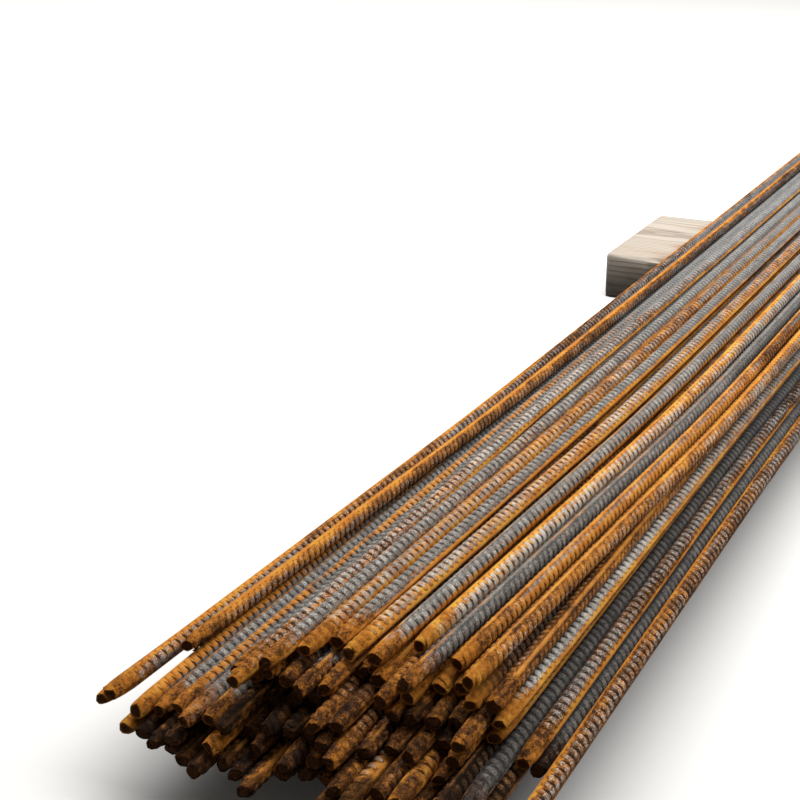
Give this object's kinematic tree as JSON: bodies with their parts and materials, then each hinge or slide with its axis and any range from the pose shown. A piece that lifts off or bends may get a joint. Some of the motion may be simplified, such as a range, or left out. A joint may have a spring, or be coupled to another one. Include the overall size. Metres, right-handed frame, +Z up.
{
  "type": "rebar bundle",
  "caption": "Tied bundle of rusty ribbed reinforcing bars on two timber bearers, with staggered, splayed near ends.",
  "frame": {"origin": "centre of the bundle's footprint, at the underside of the timber bearers", "axes": "+X along the bars, from the splayed near ends to the far ends; +Z up"},
  "size_m": [6.1356, 0.48, 0.1645],
  "materials": {
    "rusty_steel": "matte",
    "tie_wire": "matte",
    "timber": "matte"
  },
  "bodies": {
    "root": {"bars_layer_1": "rusty_steel", "bars_layer_2": "rusty_steel", "bars_layer_3": "rusty_steel", "bars_layer_4": "rusty_steel", "bars_layer_5": "rusty_steel", "bars_on_top": "rusty_steel", "near_bearer": "timber", "far_bearer": "timber", "wire_tie_1": "tie_wire", "wire_tie_2": "tie_wire"}
  },
  "joints": []
}
